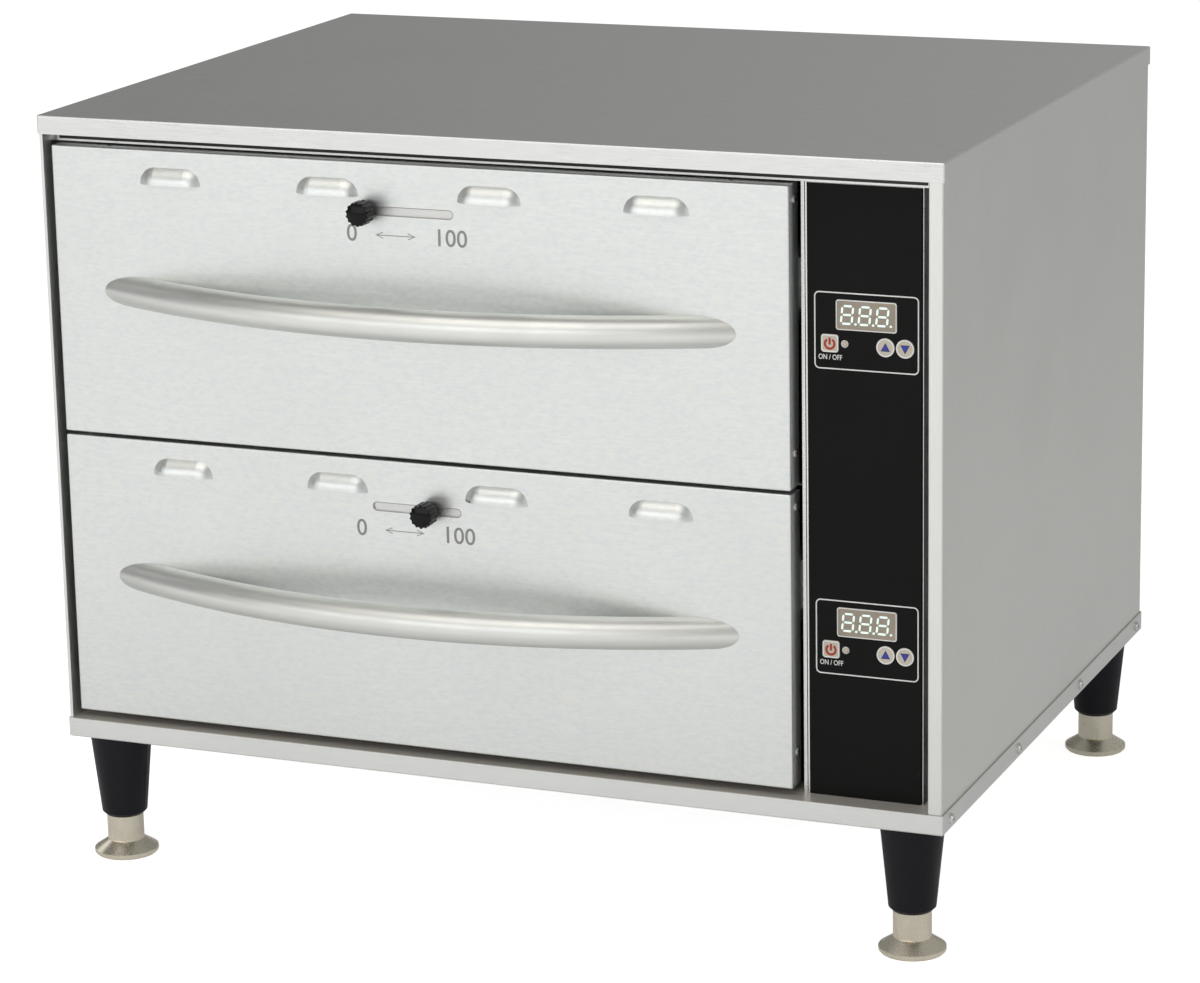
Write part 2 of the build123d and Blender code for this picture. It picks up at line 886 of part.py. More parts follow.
def make_vent_knob(level):
    """The knob: stem through the slot, collar, and a fluted head with a shallow dome."""
    x, z = knob_place(level)
    stem = slot_height / 2 - running_gap
    stem_back = damper_y + damper_sheet - face_y
    head_back = knob_head_depth - knob_reach
    rim = knob_dome - knob_reach
    dome_radius = (knob_radius**2 + knob_dome**2) / (2 * knob_dome)
    half_way = knob_radius / 2
    half_way_sag = dome_radius - sqrt(dome_radius**2 - half_way**2)
    with BuildPart() as knob:
        with BuildSketch(Plane((x, face_y, z), x_dir=(1, 0, 0), z_dir=(0, 0, 1))):
            with BuildLine():
                Polyline(
                    (0, -knob_reach),
                    (0, stem_back),
                    (stem, stem_back),
                    (stem, -running_gap),
                    (knob_collar_radius, -running_gap),
                    (knob_neck_radius, head_back / 2),
                    (knob_radius, head_back),
                    (knob_radius, rim),
                )
                ThreePointArc(
                    (knob_radius, rim),
                    (half_way, half_way_sag - knob_reach),
                    (0, -knob_reach),
                )
            make_face()
        revolve(axis=Axis((x, face_y, z), (0, 1, 0)))
        # The flutes run out on the cone behind the head
        with BuildSketch(upright(face_y + head_back / 2)):
            with Locations((x, z)):
                with PolarLocations(knob_radius + flute_radius / 3, flute_count):
                    Circle(flute_radius)
        extrude(amount=knob_reach + head_back / 2, mode=Mode.SUBTRACT)
    return knob


def make_handle(level):
    """A tube bowed to an arc, with both ends cut flush to the drawer front."""
    z = drawer_floor[level] + drawer_height - handle_drop
    arc_radius = (handle_chord**2 / 4 + handle_bow**2) / (2 * handle_bow)
    centre = (drawer_x, face_y + arc_radius - handle_bow)
    half_angle = degrees(asin((handle_chord / 2 + 2 * handle_tube) / arc_radius))
    with BuildPart() as handle:
        with BuildLine(Plane.XY.offset(z)):
            path = CenterArc(centre, arc_radius, 270 - half_angle, 2 * half_angle)
        with BuildSketch(Plane(path @ 0, z_dir=path % 0)):
            Circle(handle_tube / 2)
            Circle(handle_tube / 2 - handle_wall, mode=Mode.SUBTRACT)
        sweep()
        split(bisect_by=upright(face_y - seat), keep=Keep.TOP)
    return handle


def frame_deck(level):
    """Z of the top of a drawer frame's deck."""
    return drawer_floor[level] + drawer_height - frame_drop


def make_drawer_frame(level):
    """A shallow box, open below: its deck carries the pan and its walls carry the slides."""
    deck = frame_deck(level)
    width = frame_right - frame_left
    with BuildPart() as frame:
        with BuildSketch(Plane.XY.offset(deck - frame_height)):
            with Locations((frame_x, pan_y)):
                Rectangle(width, frame_length)
        extrude(amount=frame_height)
        offset(amount=-skin, openings=frame.faces().sort_by(Axis.Z)[0])
        # The front and rear walls are turned in at the bottom
        with BuildSketch(Plane.XY.offset(deck - frame_height)):
            with Locations((frame_x, pan_y)):
                with GridLocations(0, frame_length - frame_lip, 1, 2):
                    Rectangle(width - 2 * skin, frame_lip)
        extrude(amount=skin)
        with BuildSketch(Plane.XY.offset(deck)):
            with Locations((frame_x, pan_y)):
                hole_length = pan_length + 2 * pan_play
                RectangleRounded(hole_length, pan_width + 2 * pan_play, pan_corner + pan_play)
        extrude(amount=-skin, mode=Mode.SUBTRACT)
    return frame


def pan_rim_top(level):
    return frame_deck(level) + seat + pan_rim_lip


def pan_body(level, inset=0.0):
    """The tapered body that a pan encloses, drawn in by the inset at its sides and bottom."""
    depth = pan_depth - inset
    inwards = inset + depth * tan(radians(pan_taper))
    length = pan_length - 2 * inwards
    width = pan_width - 2 * inwards
    with BuildPart() as body:
        with BuildSketch(Plane.XY.offset(pan_rim_top(level) - depth)):
            with Locations((frame_x, pan_y)):
                RectangleRounded(length, width, pan_corner - inwards)
        extrude(amount=depth, taper=-pan_taper)
        fillet(body.edges().group_by(Axis.Z)[0], pan_bottom_radius - inset)
    return body


def pan_ring(level, top, height, inner_inset):
    """A flat or upright ring under the rim's outline, left open inside the inner outline."""
    length = pan_length + 2 * pan_rim
    width = pan_width + 2 * pan_rim
    with BuildPart() as ring:
        with BuildSketch(Plane.XY.offset(top)):
            with Locations((frame_x, pan_y)):
                RectangleRounded(length, width, pan_corner + pan_rim)
                RectangleRounded(
                    length - 2 * inner_inset,
                    width - 2 * inner_inset,
                    pan_corner + pan_rim - inner_inset,
                    mode=Mode.SUBTRACT,
                )
        extrude(amount=-height)
    return ring


def make_food_pan(level):
    """A deep pan with tapered sides, hung by its rim on the frame's deck."""
    rim_top = pan_rim_top(level)
    body = pan_body(level)
    room = pan_body(level, pan_sheet)
    rim = pan_ring(level, rim_top, pan_sheet, pan_rim + pan_sheet)
    # The rim's edge is turned down onto the deck
    lip = pan_ring(level, rim_top, pan_rim_lip, pan_sheet)
    with BuildPart() as pan:
        add(body.part)
        add(rim.part)
        add(lip.part)
        add(room.part, mode=Mode.SUBTRACT)
    return pan


def make_slide_members(level, web, tip, half_height, length):
    """A channel at each side of the bay; web and tip are distances from the bay's wall."""
    wall = bay_left + seat
    z = frame_deck(level) - frame_height / 2
    with BuildPart() as pair:
        with BuildSketch(upright(slide_front_y + (slide_length + length) / 2)):
            with BuildLine():
                Polyline(
                    (wall + tip, z + half_height),
                    (wall + web, z + half_height),
                    (wall + web, z - half_height),
                    (wall + tip, z - half_height),
                )
                offset(amount=slide_sheet, side=Side.LEFT if tip > web else Side.RIGHT)
            make_face()
        extrude(amount=length)
        mirror(about=Plane.YZ.offset(frame_x))
    return pair


def save_slides(level):
    """The fixed rails, the middle members and the runners, each nested in the one before."""
    step = slide_sheet + slide_play
    half = slide_height / 2
    rail_tip = slide_width - step
    middle_tip = rail_tip - slide_play
    runner_tip = slide_middle_offset + step
    rails = make_slide_members(level, 0, rail_tip, half, slide_length)
    middles = make_slide_members(
        level, slide_middle_offset, middle_tip, half - step, slide_middle_length
    )
    runners = make_slide_members(level, slide_width, runner_tip, half - 2 * step, slide_length)
    save(rails, f"{level}_slide_rails")
    save(middles, f"{level}_slide_middles")
    save(runners, f"{level}_slide_runners")


# ---- Controls -----------------------------------------------------------------------------------


def panel_place(level, offset_xz=(0, 0)):
    """X and Z of a place on the control panel, from the middle of its keypad."""
    return keypad_x + offset_xz[0], base_z + keypad_rises[level] + offset_xz[1]


def draw_key(level, kind, margin=0.0):
    """Draws a key's outline, let out by the margin, in the sketch at hand."""
    with Locations(panel_place(level, key_offsets[kind])):
        if kind == "power":
            size = power_key_size + 2 * margin
            RectangleRounded(size, size, power_key_corner + margin)
        else:
            Circle(key_radius + margin)


def draw_panel_openings():
    """Draws the openings for displays, lamps and keys in the sketch at hand."""
    for level in levels:
        with Locations(panel_place(level, (0, display_rise))):
            Rectangle(display_width + 2 * running_gap, display_height + 2 * running_gap)
        with Locations(panel_place(level, (lamp_shift, -power_key_drop))):
            Circle(lamp_radius + running_gap)
        for kind in key_offsets:
            draw_key(level, kind, running_gap)


def make_control_bezel():
    """The control bay's front: folded back at the left, stepped back twice at the right."""
    bottom = ledge_z + seat
    height = header_z - seat - bottom
    step_right = stile_x - seat
    step_y = bay_y + bezel_step
    blank = folded_sheet(
        Plane.XY.offset(bottom),
        [
            (bezel_left, bay_y + bezel_return),
            (bezel_left, bay_y),
            (bezel_right, bay_y),
            (bezel_right, step_y),
            (step_right, step_y),
            (step_right, bay_y + bezel_return),
        ],
        skin,
        height,
        side=Side.LEFT,
    )
    with BuildPart() as bezel:
        add(blank.part)
        # Flanges close its foot and its head
        for z in (bottom, bottom + height - skin):
            with BuildSketch(Plane.XY.offset(z)):
                with Locations((bezel_left + skin / 2, bay_y + skin / 2)):
                    flange_width = bezel_width - skin
                    Rectangle(flange_width, bezel_return - skin / 2, align=low_corner)
            extrude(amount=skin)
        with BuildSketch(upright(bay_y + skin)):
            draw_panel_openings()
        extrude(amount=skin, mode=Mode.SUBTRACT)
    return bezel


def make_control_face():
    """The black face, a rim's width inside the bezel's edges."""
    bottom = ledge_z + seat + bezel_end_rim
    height = header_z - seat - bezel_end_rim - bottom
    with BuildPart() as face:
        with BuildSketch(upright(bay_y - seat)):
            with Locations((bezel_x, bottom + height / 2)):
                Rectangle(bezel_width - 2 * bezel_rim, height)
        extrude(amount=control_face_thickness)
        with BuildSketch(upright(bay_y - seat)):
            draw_panel_openings()
        extrude(amount=control_face_thickness, mode=Mode.SUBTRACT)
    return face


def make_display(level):
    """A display: its window stands in the panel's opening, its body behind on the board."""
    width, height = display_width, display_height
    margin = 2 * display_body_margin
    place = panel_place(level, (0, display_rise))
    body_front = bezel_back_y + seat
    with BuildPart() as display:
        with BuildSketch(upright(board_y - seat)):
            with Locations(place):
                Rectangle(width + margin, height + margin)
        extrude(amount=board_y - seat - body_front)
        with BuildSketch(upright(body_front)):
            with Locations(place):
                Rectangle(width, height)
        extrude(amount=body_front - control_y + display_proud)
    return display


def make_indicator_lamps():
    with BuildPart() as lamps:
        with BuildSketch(upright(board_y - seat)):
            with Locations(*[panel_place(level, (lamp_shift, -power_key_drop)) for level in levels]):
                Circle(lamp_radius)
        extrude(amount=board_y - seat - control_y + lamp_dome)
        fillet(lamps.edges().group_by(Axis.Y)[0], lamp_dome)
    return lamps


def make_key(level, kind):
    """A key: cap through the panel, a flange that keeps it in, and a plunger to its switch."""
    with BuildPart() as key:
        with BuildSketch(upright(key_flange_y)):
            draw_key(level, kind)
        extrude(amount=key_flange_y - control_y + key_proud)
        chamfer(key.edges().group_by(Axis.Y)[0], key_bevel)
        with BuildSketch(upright(key_flange_y + key_flange)):
            draw_key(level, kind, key_flange_lap)
        extrude(amount=key_flange)
        with BuildSketch(upright(key_flange_y + key_flange + key_plunger_length)):
            with Locations(panel_place(level, key_offsets[kind])):
                Circle(key_plunger_radius)
        extrude(amount=key_plunger_length)
    return key


def make_control_board(level):
    """A board on four posts behind the bezel, with a switch behind each key."""
    switch_front = key_flange_y + key_flange + key_plunger_length + key_travel + seat
    post_grid = [side - 2 * board_post_inset for side in (board_width, board_height)]
    with BuildPart() as board:
        with BuildSketch(upright(board_y + board_thickness)):
            with Locations(panel_place(level)):
                Rectangle(board_width, board_height)
        extrude(amount=board_thickness)
        with BuildSketch(upright(board_y)):
            with Locations(panel_place(level)):
                with GridLocations(*post_grid, 2, 2):
                    Circle(board_post_radius)
        extrude(amount=board_y - bezel_back_y - seat)
        with BuildSketch(upright(board_y)):
            for key_offset in key_offsets.values():
                with Locations(panel_place(level, key_offset)):
                    Rectangle(switch_size, switch_size)
        extrude(amount=board_y - switch_front)
    return board


def make_cord_gland():
    """The power cord's gland, with its nut inside the rear panel."""
    nut_front = -(skin + seat + gland_nut)
    return turned(
        (gland_x, rear_panel_y, base_z + gland_rise),
        [
            (gland_bore_radius, -gland_tail),
            (gland_thread_radius, -gland_tail),
            (gland_thread_radius, nut_front),
            (gland_flange_radius, nut_front),
            (gland_flange_radius, -(skin + seat)),
            (gland_thread_radius, -(skin + seat)),
            (gland_thread_radius, seat),
            (gland_flange_radius, seat),
            (gland_flange_radius, gland_flange),
            (gland_dome_radius, gland_flange + gland_reach),
            (gland_bore_radius, gland_flange + gland_reach),
        ],
        along=(0, 1, 0),
    )


def make_terminal_block():
    """A moulded block on the base tray, with a walled way for each conductor."""
    width, depth, height = terminal_block_width, terminal_block_depth, terminal_block_height
    pitch = (width - terminal_wall) / terminal_ways
    with BuildPart() as block:
        with BuildSketch(Plane.XY.offset(floor_z + seat)):
            with Locations((bezel_x, back_y - terminal_setback)):
                Rectangle(width, depth)
        extrude(amount=height)
        with BuildSketch(Plane.XY.offset(floor_z + seat + height)):
            with Locations((bezel_x, back_y - terminal_setback)):
                with GridLocations(pitch, 0, terminal_ways, 1):
                    Rectangle(pitch - terminal_wall, depth - 2 * terminal_wall)
        extrude(amount=-height / 2, mode=Mode.SUBTRACT)
    return block


# ---- Fasteners ----------------------------------------------------------------------------------


def make_fastener(head_radius, head_height):
    """A low round head on a shank as long as two sheets; its seat is at the origin."""
    shank_end = -(2 * skin + seat)
    crown_radius = head_radius * 0.7
    return turned(
        (0, 0, 0),
        [
            (0, shank_end),
            (screw_shank_radius, shank_end),
            (screw_shank_radius, 0),
            (head_radius, 0),
            (head_radius, head_height / 2),
            (crown_radius, head_height),
            (0, head_height),
        ],
    )


def make_case_fasteners():
    """Side and rear screws, and the nuts on the legs' studs."""
    screw = make_fastener(screw_head_radius, screw_head_height)
    side_planes = [
        Plane((sign * case_width / 2, y, z), z_dir=(sign, 0, 0))
        for sign in (-1, 1)
        for y, z in side_screw_places()
    ]
    rear_planes = [Plane((x, panel_back_y, z), z_dir=(0, 1, 0)) for x, z in rear_screw_places()]
    with BuildPart() as fasteners:
        with Locations(*side_planes, *rear_planes):
            add(screw.part)
        with BuildSketch(Plane.XY.offset(floor_z + seat)):
            with Locations(*leg_places().values()):
                RegularPolygon(nut_across_flats / 2, 6, major_radius=False)
                Circle(leg_stud_radius + seat, mode=Mode.SUBTRACT)
        extrude(amount=nut_height)
    return fasteners


def make_front_rivets(level):
    rivet = make_fastener(rivet_head_radius, rivet_head_height)
    planes = [
        Plane((x, y, z), z_dir=(sign, 0, 0))
        for sign, x in ((-1, drawer_left), (1, drawer_right))
        for y, z in rivet_places(level)
    ]
    with BuildPart() as rivets:
        with Locations(*planes):
            add(rivet.part)
    return rivets


# ---- All pieces ---------------------------------------------------------------------------------

os.makedirs("parts", exist_ok=True)

save(make_top_cover(), "top_cover")
save(make_base_tray(), "base_tray")
save(make_left_side_panel(), "left_side_panel")
save(make_right_side_panel(), "right_side_panel")
save(make_rear_panel(), "rear_panel")
save(make_header_rail(), "header_rail")
save(make_bay_divider(), "bay_divider")
save(make_drawer_shelf(), "drawer_shelf")
save(make_left_liner(), "left_liner")
save(make_rear_liner(), "rear_liner")
save(make_top_liner(), "top_liner")
save(make_insulation(), "insulation")
save(make_control_bezel(), "control_bezel")
save(make_control_face(), "control_face")
save(make_indicator_lamps(), "indicator_lamps")
save(make_cord_gland(), "cord_gland")
save(make_terminal_block(), "terminal_block")
save(make_case_fasteners(), "case_fasteners")
save(make_leg_sleeves(), "leg_sleeves")

for corner, (corner_x, corner_y) in leg_places().items():
    save(make_foot(corner_x, corner_y), f"{corner}_foot")

for name in levels:
    save(make_drawer_front(name), f"{name}_drawer_front")
    save(make_front_rivets(name), f"{name}_front_rivets")
    save(make_vent_damper(name), f"{name}_vent_damper")
    save(make_vent_knob(name), f"{name}_vent_knob")
    save(make_handle(name), f"{name}_handle")
    save(make_drawer_frame(name), f"{name}_drawer_frame")
    save(make_food_pan(name), f"{name}_food_pan")
    save_slides(name)
    save(make_heating_element(name), f"{name}_heating_element")
    save(make_temperature_probe(name), f"{name}_temperature_probe")
    save(make_high_limit(name), f"{name}_high_limit")
    save(make_display(name), f"{name}_display")
    save(make_control_board(name), f"{name}_control_board")
    for key_kind in key_offsets:
        save(make_key(name, key_kind), f"{name}_{key_kind}_key")
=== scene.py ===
import json
from math import cos, pi, radians, sin

import bpy
import numpy as np
from mathutils import Matrix, Vector


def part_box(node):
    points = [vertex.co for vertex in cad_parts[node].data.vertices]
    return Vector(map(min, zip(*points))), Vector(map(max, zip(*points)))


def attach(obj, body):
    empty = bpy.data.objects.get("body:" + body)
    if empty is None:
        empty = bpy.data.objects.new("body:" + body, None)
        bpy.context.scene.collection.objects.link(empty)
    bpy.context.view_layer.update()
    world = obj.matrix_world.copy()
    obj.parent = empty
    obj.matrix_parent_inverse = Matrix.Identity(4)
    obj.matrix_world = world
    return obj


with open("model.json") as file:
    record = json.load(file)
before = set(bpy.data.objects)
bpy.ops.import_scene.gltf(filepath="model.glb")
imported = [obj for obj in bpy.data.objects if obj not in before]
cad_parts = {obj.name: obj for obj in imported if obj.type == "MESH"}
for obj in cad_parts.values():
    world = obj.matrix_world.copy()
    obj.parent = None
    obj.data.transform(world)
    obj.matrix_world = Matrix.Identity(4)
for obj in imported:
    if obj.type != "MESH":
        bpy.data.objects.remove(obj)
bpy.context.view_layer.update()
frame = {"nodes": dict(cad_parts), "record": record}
nodes = frame["nodes"]
levels = ("upper", "lower")
mm = 0.001

# ---- Surfaces worked out as arrays ----------------------------------------------------------------


def mesh_piece(name, points, faces, finish, body):
    """A piece from points and faces, turned outwards by the sign of the volume it encloses."""
    mesh = bpy.data.meshes.new(name)
    mesh.from_pydata(points.tolist(), [], faces)
    mesh.update()
    mesh.calc_loop_triangles()
    corners = np.empty(len(mesh.loop_triangles) * 3, dtype=np.int32)
    mesh.loop_triangles.foreach_get("vertices", corners)
    a, b, c = points[corners.reshape(-1, 3)].transpose(1, 0, 2)
    if np.einsum("ij,ij->", a, np.cross(b, c)) < 0:
        mesh.flip_normals()
    piece = bpy.data.objects.new(name, mesh)
    bpy.context.collection.objects.link(piece)
    piece.data.materials.append(finish)
    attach(piece, body)
    return piece


def grid_faces(rows, columns, close_rows=False, close_columns=False):
    """Quads between the neighbours of a grid of points, as index lists."""
    index = np.arange(rows * columns).reshape(rows, columns)
    if close_rows:
        index = np.vstack([index, index[:1]])
    if close_columns:
        index = np.hstack([index, index[:, :1]])
    quads = np.stack([index[:-1, :-1], index[1:, :-1], index[1:, 1:], index[:-1, 1:]], axis=-1)
    return quads.reshape(-1, 4).tolist()


def rounded_outline(width, height, radius, steps=8):
    """A rounded rectangle about zero: four quarter circles of the radius at its corners."""
    turn = np.linspace(0, pi / 2, steps)
    arc = radius * np.stack([np.cos(turn), np.sin(turn)], axis=1)
    quarter = np.array([[0, 1], [-1, 0]])
    corners = []
    for i, (x, y) in enumerate([(1, 1), (-1, 1), (-1, -1), (1, -1)]):
        middle = np.array([x * (width / 2 - radius), y * (height / 2 - radius)])
        corners.append(middle + arc @ np.linalg.matrix_power(quarter, i))
    return np.concatenate(corners)


def ring_outline(radius, steps=40):
    """A circle about zero."""
    turn = np.linspace(0, 2 * pi, steps, endpoint=False)
    return radius * np.stack([np.cos(turn), np.sin(turn)], axis=1)


def bead_points(path, width, proud, closed):
    """A low bead along a flat path: its section runs across the path's mitred normal, rising
    from the sheet at both edges to a flat top, and closes underneath."""
    before = np.roll(path, 1, axis=0)
    after = np.roll(path, -1, axis=0)
    if not closed:
        before[0] = 2 * path[0] - path[1]
        after[-1] = 2 * path[-1] - path[-2]
    into = path - before
    out = after - path
    into /= np.linalg.norm(into, axis=1, keepdims=True)
    out /= np.linalg.norm(out, axis=1, keepdims=True)
    middle = into + out
    middle /= np.linalg.norm(middle, axis=1, keepdims=True)
    stretch = 1 / np.maximum(np.einsum("ij,ij->i", middle, into), 0.5)
    across = np.stack([-middle[:, 1], middle[:, 0]], axis=1) * stretch[:, None]
    section = np.array([(-0.5, 0), (-0.36, 1), (0.36, 1), (0.5, 0)]) * (width, proud)
    flat = path[:, None, :] + across[:, None, :] * section[None, :, :1]
    rise = np.broadcast_to(section[None, :, 1:], flat.shape[:2] + (1,))
    return np.concatenate([flat, rise], axis=2)


def on_face(flat, centre, level, facing="front"):
    """Puts points of (across, up, proud) on an upright face of the case. The level is the face's
    Y, or its X where it faces a side, and across runs to the right of someone who looks at it."""
    across, up, proud = flat[..., 0], flat[..., 1], flat[..., 2]
    z = centre[1] + up
    if facing == "front":
        x, y = centre[0] + across, level - proud
    elif facing == "rear":
        x, y = centre[0] - across, level + proud
    elif facing == "right":
        x, y = level + proud, centre[0] + across
    else:
        x, y = level - proud, centre[0] - across
    return np.stack([x, y, z], axis=-1).reshape(-1, 3)


def bead(name, path, width, proud, centre, level, finish, body, closed=True, facing="front"):
    """A raised line along the path on an upright face."""
    points = bead_points(np.asarray(path, dtype=float), width, proud, closed)
    rows, columns = points.shape[:2]
    faces = grid_faces(rows, columns, close_rows=closed, close_columns=True)
    if not closed:
        faces += [list(range(columns)), list(range((rows - 1) * columns, rows * columns))[::-1]]
    return mesh_piece(name, on_face(points, centre, level, facing), faces, finish, body)


def slab(name, outlines, proud, centre, level, finish, body, facing="front"):
    """Flat plates with the outlines' shapes: each outline once on the face and once proud of it."""
    points = []
    faces = []
    for outline in outlines:
        outline = np.asarray(outline, dtype=float)
        count = len(outline)
        start = sum(len(part) for part in points)
        layers = [np.column_stack([outline, np.full(count, rise)]) for rise in (0.0, proud)]
        points.append(np.concatenate(layers))
        ring = start + np.arange(count)
        following = start + (np.arange(count) + 1) % count
        faces += np.stack([ring, following, following + count, ring + count], axis=1).tolist()
        faces += [ring[::-1].tolist(), (ring + count).tolist()]
    flat = np.concatenate(points)
    return mesh_piece(name, on_face(flat, centre, level, facing), faces, finish, body)


def lettering(name, words, size, proud, centre, level, finish, body, wide=1.0, bold=0.0):
    """Plain characters as a thin plate on a front face: widths times the wide factor, and every
    stroke's edge moved outwards by the bold length."""
    curve = bpy.data.curves.new(name, "FONT")
    curve.body = words
    curve.size = size
    curve.align_x = "CENTER"
    curve.align_y = "CENTER"
    curve.extrude = proud / 2
    curve.resolution_u = 4
    curve.offset = bold
    text = bpy.data.objects.new(name, curve)
    bpy.context.collection.objects.link(text)
    shown = text.evaluated_get(bpy.context.evaluated_depsgraph_get())
    mesh = bpy.data.meshes.new_from_object(shown)
    bpy.data.objects.remove(text)
    bpy.data.curves.remove(curve)
    flat = np.empty(len(mesh.vertices) * 3)
    mesh.vertices.foreach_get("co", flat)
    flat = flat.reshape(-1, 3)
    flat[:, 0] *= wide
    flat[:, 2] += proud / 2
    mesh.vertices.foreach_set("co", on_face(flat, centre, level).ravel())
    mesh.update()
    piece = bpy.data.objects.new(name, mesh)
    bpy.context.collection.objects.link(piece)
    mesh.materials.clear()
    mesh.materials.append(finish)
    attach(piece, body)
    return piece


# ---- Finishes -------------------------------------------------------------------------------------


def blank_finish(name, colour, metallic, roughness):
    """A new material with its shader's uniform values set."""
    material = bpy.data.materials.new(name)
    material.use_nodes = True
    shader = material.node_tree.nodes["Principled BSDF"]
    shader.inputs["Base Color"].default_value = (*colour, 1)
    shader.inputs["Metallic"].default_value = metallic
    shader.inputs["Roughness"].default_value = roughness
    return material, material.node_tree, shader


def noise(tree, stretch, detail=3.0):
    """Noise over the piece's own coordinates, so many cells a metre along each axis."""
    place = tree.nodes.new("ShaderNodeTexCoord")
    mapping = tree.nodes.new("ShaderNodeMapping")
    mapping.inputs["Scale"].default_value = stretch
    pattern = tree.nodes.new("ShaderNodeTexNoise")
    pattern.inputs["Scale"].default_value = 1.0
    pattern.inputs["Detail"].default_value = detail
    tree.links.new(place.outputs["Object"], mapping.inputs["Vector"])
    tree.links.new(mapping.outputs["Vector"], pattern.inputs["Vector"])
    return pattern.outputs["Fac"]


def ranged(tree, value, low, high, start=0.3, end=0.7):
    """The value between start and end, carried to between low and high."""
    node = tree.nodes.new("ShaderNodeMapRange")
    tree.links.new(value, node.inputs["Value"])
    for name, level in (("From Min", start), ("From Max", end), ("To Min", low), ("To Max", high)):
        node.inputs[name].default_value = level
    return node.outputs["Result"]


def mixed(tree, share, first, second):
    """Colour between the first and the second by the share; either may be a socket."""
    node = tree.nodes.new("ShaderNodeMix")
    node.data_type = "RGBA"
    tree.links.new(share, node.inputs[0])
    for socket, colour in ((node.inputs[6], first), (node.inputs[7], second)):
        if isinstance(colour, tuple):
            socket.default_value = (*colour, 1)
        else:
            tree.links.new(colour, socket)
    return node.outputs[2]


def added(tree, first, second, share=0.5):
    """The first value plus a share of the second."""
    node = tree.nodes.new("ShaderNodeMath")
    node.operation = "MULTIPLY_ADD"
    node.inputs[1].default_value = share
    tree.links.new(second, node.inputs[0])
    tree.links.new(first, node.inputs[2])
    return node.outputs[0]


def bumped(tree, shader, value, strength, depth):
    """Raises the surface by the value."""
    node = tree.nodes.new("ShaderNodeBump")
    node.inputs["Strength"].default_value = strength
    node.inputs["Distance"].default_value = depth
    tree.links.new(value, node.inputs["Height"])
    tree.links.new(node.outputs["Normal"], shader.inputs["Normal"])


def shade(colour, factor):
    """The colour made lighter or darker."""
    return tuple(min(1.0, part * factor) for part in colour)


def along(grain, cells, cells_along):
    """Noise cells a metre on each axis, with fewer along the grain, which draws them out."""
    return tuple(cells_along if axis == grain else cells for axis in range(3))


def brushed(name, colour, grain, roughness, streak=0.05, cloud=0.03, lines=0.25, fleck=None):
    """Brushed sheet: fine lines along the grain, soft streaks, and faint clouds where it was
    handled, in the colour, the roughness and the bump. The fleck is a second tint of the steel."""
    material, tree, shader = blank_finish(name, colour, 0.95, roughness)
    line = noise(tree, along(grain, 1100.0, 45.0), 4.0)
    band = noise(tree, along(grain, 160.0, 32.0), 2.0)
    handled = noise(tree, (7.0, 7.0, 7.0), 4.0)
    lined = mixed(tree, ranged(tree, line, 0, 1), shade(colour, 1 - streak), shade(colour, 1 + streak))
    banded = mixed(tree, ranged(tree, band, 0, 0.5), lined, shade(colour, 1 - cloud))
    worn = mixed(tree, ranged(tree, handled, 0, 0.6, 0.45, 0.75), banded, shade(colour, 1 - 2 * cloud))
    if fleck:
        flecks = noise(tree, along(grain, 380.0, 170.0), 3.0)
        worn = mixed(tree, ranged(tree, flecks, 0, 0.8, 0.42, 0.66), worn, fleck)
    tree.links.new(worn, shader.inputs["Base Color"])
    scuffed = ranged(tree, added(tree, line, handled, 0.6), roughness - 0.06, roughness + 0.1, 0.5, 1.1)
    tree.links.new(scuffed, shader.inputs["Roughness"])
    bumped(tree, shader, line, lines, 0.00004)
    return material


def tray_sheet(name, colour, painted_ledge_shade, ledge):
    """The brushed sheet with painted shade at the height of the ledge: a darker, browner, less metallic
    band that stands in for the shade under the drawers.
    """
    material = brushed(name, colour, 0, 0.36, streak=0.035)
    tree = material.node_tree
    shader = tree.nodes["Principled BSDF"]
    place = tree.nodes.new("ShaderNodeTexCoord")
    height = tree.nodes.new("ShaderNodeSeparateXYZ")
    tree.links.new(place.outputs["Object"], height.inputs["Vector"])
    # Painted shade on the ledge: at the ledge's height the colour turns darker and browner and the metal
    # duller.
    share = ranged(tree, height.outputs["Z"], 0, 1, ledge - 0.4 * mm, ledge - 0.1 * mm)
    unshaded_colour = shader.inputs["Base Color"].links[0].from_socket
    tree.links.new(mixed(tree, share, unshaded_colour, painted_ledge_shade), shader.inputs["Base Color"])
    tree.links.new(ranged(tree, share, 0.95, 0.35, 0, 1), shader.inputs["Metallic"])
    return material


def satin_tube(name, colour, roughness):
    """Polished tube: an even satin with hardly any grain, and faint clouds where hands hold it."""
    material, tree, shader = blank_finish(name, colour, 1.0, roughness)
    polish = noise(tree, (60.0, 420.0, 420.0), 3.0)
    handled = noise(tree, (14.0, 14.0, 14.0), 3.0)
    toned = mixed(tree, ranged(tree, handled, 0, 1, 0.35, 0.75), colour, shade(colour, 0.95))
    tree.links.new(toned, shader.inputs["Base Color"])
    rubbed = added(tree, polish, handled, 0.7)
    satin = ranged(tree, rubbed, roughness - 0.04, roughness + 0.05, 0.6, 1.1)
    tree.links.new(satin, shader.inputs["Roughness"])
    bumped(tree, shader, polish, 0.03, 0.00003)
    return material


def moulded(name, colour, roughness, grain=900.0, lines=0.15, patch=0.15, gloss=0.5):
    """Moulded or painted surface: a fine orange-peel grain and faint dusty patches."""
    material, tree, shader = blank_finish(name, colour, 0.0, roughness)
    shader.inputs["Specular IOR Level"].default_value = gloss
    peel = noise(tree, (grain, grain, grain), 2.0)
    dust = noise(tree, (22.0, 22.0, 22.0), 4.0)
    toned = mixed(tree, ranged(tree, dust, 0, 1, 0.4, 0.75), colour, shade(colour, 1 + patch))
    tree.links.new(toned, shader.inputs["Base Color"])
    tree.links.new(ranged(tree, dust, roughness - 0.05, roughness + 0.1), shader.inputs["Roughness"])
    bumped(tree, shader, peel, lines, 0.00003)
    return material


